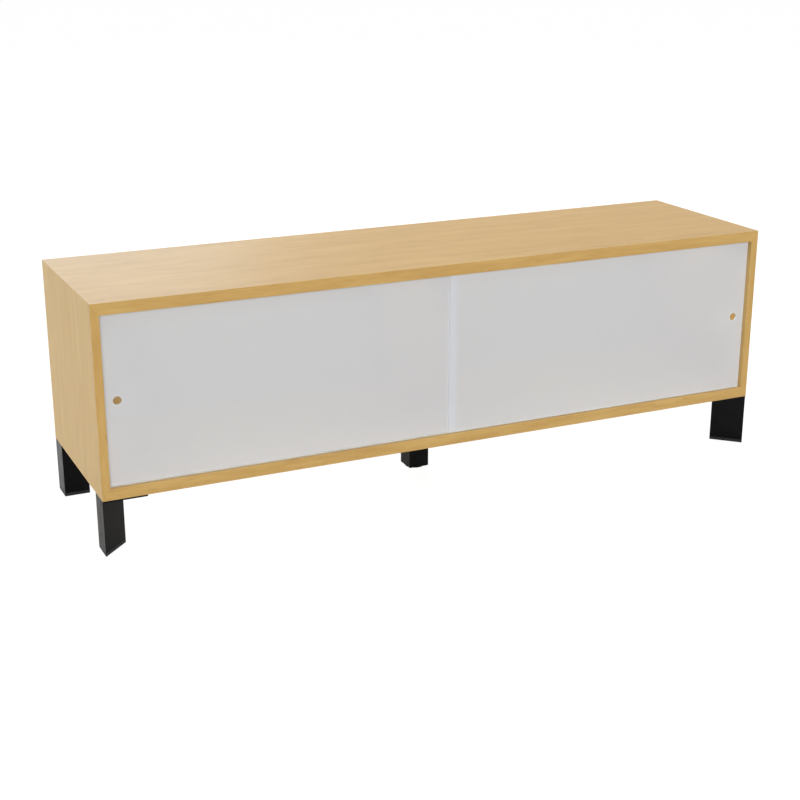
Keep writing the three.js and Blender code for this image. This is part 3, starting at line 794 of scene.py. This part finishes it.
def seenRays(tree):
    path = addNode(tree, "ShaderNodeLightPath")
    seen = maths(tree, "MAXIMUM", path.outputs["Is Camera Ray"], path.outputs["Is Glossy Ray"])
    return maths(tree, "MAXIMUM", seen, path.outputs["Is Transmission Ray"])


def grey(level):
    return (level, level, level, 1)


def makeFloor():
    half = floor["size"] / 2
    data = bpy.data.meshes.new("floor")
    data.from_pydata([(*point, 0) for point in rectangle(-half, -half, half, half)], [], [(0, 1, 2, 3)])
    ground = addObject("floor", data)
    material = bpy.data.materials.new("paleFloor")
    material.use_nodes = True
    tree = material.node_tree
    tree.nodes.clear()
    surface = addNode(tree, "ShaderNodeBsdfDiffuse", {"Color": grey(floor["colour"])}).outputs[0]
    path = addNode(tree, "ShaderNodeLightPath").outputs
    rays = {"Is Glossy Ray": "mirrored", "Is Transmission Ray": "seen", "Is Camera Ray": "seen"}
    for ray, kind in rays.items():
        shown = addNode(tree, "ShaderNodeBsdfDiffuse", {"Color": grey(floor[f"{kind}Colour"])})
        glow = addNode(tree, "ShaderNodeEmission", {"Strength": floor[f"{kind}Glow"]})
        both = addNode(tree, "ShaderNodeAddShader", {0: shown.outputs[0], 1: glow.outputs[0]})
        surface = addNode(tree, "ShaderNodeMixShader", {
            0: path[ray], 1: surface, 2: both.outputs[0]}).outputs[0]
    addNode(tree, "ShaderNodeOutputMaterial", {"Surface": surface})
    data.materials.append(material)


# Studio: a white dome, a low soft sun in front as key lamp, large soft lamps around the object and a
# lamp inside each compartment. Angles are in degrees
studio = {"dome": 0.22, "backdrop": 1.0}
keyLamp = {"azimuth": 12, "height": 10, "spread": 35, "power": 2.6}
white = (1, 1, 1)
lamps = {
    "backLamp": {"place": (-1.1, 4.2, 1.5), "aim": (-0.6, 0, 0.5), "size": (4.6, 2.2), "power": 62,
                 "colour": (0.6, 0.8, 1.0), "diffuse": False},
    "rearLamp": {"place": (1.5, 6.0, 1.5), "aim": (0, 0, 0.3), "size": (4.0, 2.0), "power": 330,
                 "colour": white, "glossy": False},
    "sideLamp": {"place": (-5.0, 0.4, 1.0), "aim": (-0.8, 0, 0.3), "size": (3.0, 2.0), "power": 107,
                 "colour": (0.88, 0.96, 1.0)},
    "topLamp": {"place": (0.2, 0.4, 4.0), "aim": (0, 0.2, 0.3), "size": (3.5, 2.5), "power": 43,
                "colour": white},
    "fillLamp": {"place": (0.0, -1.0, 4.0), "aim": (0, 0, 0.3), "size": (3.5, 2.5), "power": 29,
                 "colour": white, "shadow": False},
    "leftInsideLamp": {"place": (-0.4, 0.0, 0.5), "aim": (-0.4, 0.02, 0.2), "size": (0.7, 0.3),
                       "power": 2.0, "colour": (0.72, 0.9, 1.0)},
    "rightInsideLamp": {"place": (0.4, 0.0, 0.5), "aim": (0.4, 0.02, 0.2), "size": (0.7, 0.3),
                        "power": 2.0, "colour": (0.72, 0.9, 1.0)},
}


def makeStudio():
    world = bpy.data.worlds.new("dome")
    bpy.context.scene.world = world
    world.use_nodes = True
    tree = world.node_tree
    tree.nodes.clear()
    light = addNode(tree, "ShaderNodeBackground", {"Color": (*white, 1), "Strength": studio["dome"]})
    seen = addNode(tree, "ShaderNodeBackground", {"Color": (*white, 1), "Strength": studio["backdrop"]})
    mixed = addNode(tree, "ShaderNodeMixShader", {0: seenRays(tree), 1: light.outputs[0], 2: seen.outputs[0]})
    addNode(tree, "ShaderNodeOutputWorld", {"Surface": mixed.outputs[0]})
    data = bpy.data.lights.new("keyLamp", "SUN")
    data.energy = keyLamp["power"]
    data.angle = math.radians(keyLamp["spread"])
    lamp = addObject("keyLamp", data)
    lamp.rotation_euler = (math.radians(90 - keyLamp["height"]), 0, -math.radians(keyLamp["azimuth"]))
    lamp.visible_glossy = False
    for name, values in lamps.items():
        data = bpy.data.lights.new(name, "AREA")
        data.shape = "RECTANGLE"
        data.size, data.size_y = values["size"]
        data.energy = values["power"]
        data.color = values["colour"]
        data.use_shadow = values.get("shadow", True)
        lamp = addObject(name, data)
        lamp.location = values["place"]
        lamp.rotation_euler = (Vector(values["aim"]) - lamp.location).to_track_quat("-Z", "Y").to_euler()
        lamp.visible_camera = False
        lamp.visible_diffuse = values.get("diffuse", True)
        lamp.visible_glossy = values.get("glossy", True)


# Camera: without roll, at the photo's angle and distance
view = {"place": (-1.43751, -2.98330, 1.27221), "azimuth": 25.132, "down": 18.537, "lens": 66.903,
        "sensor": 36, "farthest": 200}


def makeCamera():
    data = bpy.data.cameras.new("camera")
    data.lens = view["lens"]
    data.sensor_width = view["sensor"]
    data.clip_end = view["farthest"]
    camera = addObject("camera", data)
    camera.location = view["place"]
    camera.rotation_euler = (math.radians(90 - view["down"]), 0, math.radians(-view["azimuth"]))
    bpy.context.scene.camera = camera


makeFloor()
makeStudio()
makeCamera()
bpy.context.scene.view_settings.view_transform = "Standard"
print("floor, lamps and camera")
